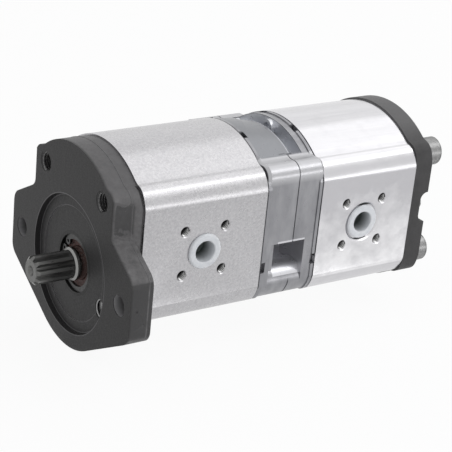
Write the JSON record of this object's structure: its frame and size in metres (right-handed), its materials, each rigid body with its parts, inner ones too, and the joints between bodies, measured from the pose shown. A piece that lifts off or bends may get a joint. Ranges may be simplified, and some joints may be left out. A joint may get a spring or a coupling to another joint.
{
  "type": "tandem hydraulic gear pump",
  "caption": "Tandem external gear pump: aluminium gear sections in line on one splined drive shaft, between cast iron covers, with an eared mounting flange.",
  "frame": {"origin": "centre of the pilot recess, where the shaft axis meets the mounting face", "axes": "+X runs rearward along the drive shaft, +Z runs from the drive gears up to the driven gears, and the pressure ports face -Y"},
  "size_m": [0.2409, 0.128, 0.1155],
  "materials": {
    "cast_iron_cover": "charcoal coated casting, satin",
    "front_extrusion": "matte, finely blasted extrusion",
    "rear_extrusion": "smooth bright extrusion",
    "plate_alloy": "die-cast, semi-gloss",
    "block_alloy": "turned",
    "bush_bronze": "plain bearing lining",
    "shaft_steel": "hardened and ground",
    "gear_steel": "ground",
    "ring_steel": "phosphated spring steel",
    "zinc_screw": "zinc plated",
    "seal_rubber_brown": "matte",
    "seal_rubber_black": "matte",
    "cap_plastic": "pale translucent polyethylene"
  },
  "bodies": {
    "housing": {"front_cover": "cast_iron_cover", "shaft_seal": "seal_rubber_brown", "seal_retaining_ring": "ring_steel", "front_body": "front_extrusion", "front_block_ahead": "block_alloy", "front_block_behind": "block_alloy", "front_bushes": "bush_bronze", "front_block_seals": "seal_rubber_black", "front_body_seals": "seal_rubber_black", "front_end_plate": "plate_alloy", "plate_seal": "seal_rubber_black", "rear_end_plate": "plate_alloy", "rear_body": "rear_extrusion", "rear_block_ahead": "block_alloy", "rear_block_behind": "block_alloy", "rear_bushes": "bush_bronze", "rear_block_seals": "seal_rubber_black", "rear_body_seals": "seal_rubber_black", "rear_cover": "cast_iron_cover", "channel_plug": "zinc_screw", "long_screws": "zinc_screw", "screw_washers": "zinc_screw", "dowel_pins": "gear_steel", "front_pressure_cap": "cap_plastic", "rear_pressure_cap": "cap_plastic", "front_suction_cap": "cap_plastic", "rear_suction_cap": "cap_plastic"},
    "drive_line": {"drive_shaft": "shaft_steel", "shaft_coupling": "gear_steel", "rear_drive_gear": "gear_steel"},
    "front_driven": {"front_driven_gear": "gear_steel"},
    "rear_driven": {"rear_driven_gear": "gear_steel"}
  },
  "joints": [
    {"name": "drive_spin", "type": "hinge", "parent": "housing", "child": "drive_line", "pos_m": [0, 0, 0], "axis": [1, 0, 0], "continuous": true},
    {"name": "front_driven_spin", "type": "hinge", "parent": "housing", "child": "front_driven", "pos_m": [0, 0, 0.034], "axis": [1, 0, 0], "continuous": true},
    {"name": "rear_driven_spin", "type": "hinge", "parent": "housing", "child": "rear_driven", "pos_m": [0, 0, 0.034], "axis": [1, 0, 0], "continuous": true}
  ],
  "couplings": [
    {"joint": "front_driven_spin", "follows": "drive_spin", "ratio": -1},
    {"joint": "rear_driven_spin", "follows": "drive_spin", "ratio": -1}
  ]
}
